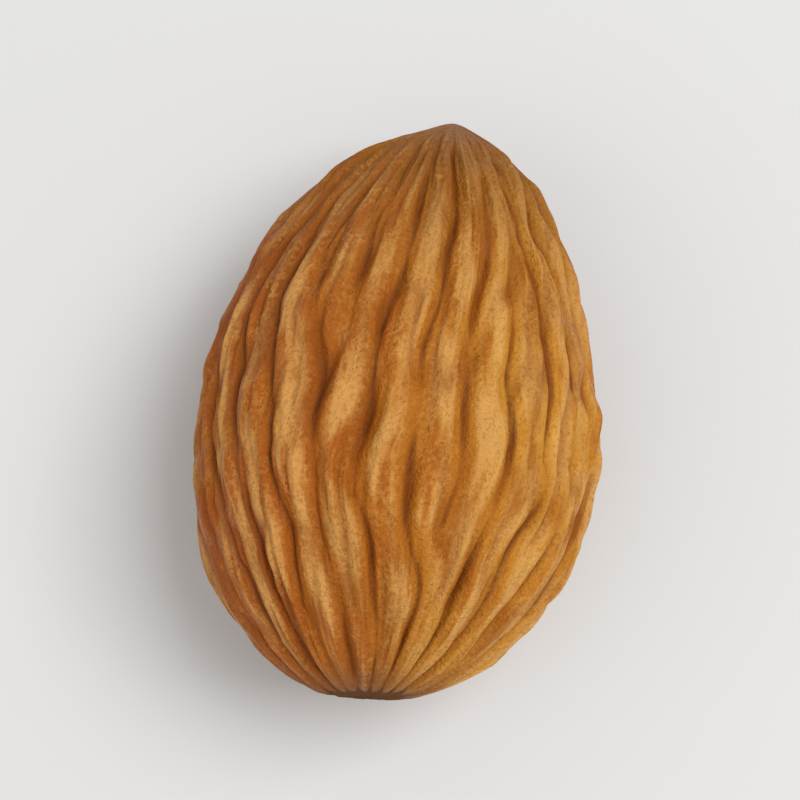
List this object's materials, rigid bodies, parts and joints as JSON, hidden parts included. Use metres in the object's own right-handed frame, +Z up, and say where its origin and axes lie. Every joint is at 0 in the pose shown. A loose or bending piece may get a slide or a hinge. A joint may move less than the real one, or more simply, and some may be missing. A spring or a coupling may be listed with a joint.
{
  "type": "chinese bush cherry seed",
  "caption": "Dried teardrop-shaped seed with forking lengthwise ribs, a pointed bent tip and a shallow hollow in its blunt end, lying on its side.",
  "frame": {"origin": "middle of the seed's box in X and Y, on the surface that the seed lies on", "axes": "+Y towards the pointed tip, +Z up from the surface, +X towards the side that the tip bends to"},
  "size_m": [0.0044, 0.0064, 0.0038],
  "materials": {
    "coat": "satin"
  },
  "bodies": {
    "root": {"seed": "coat"}
  },
  "joints": []
}
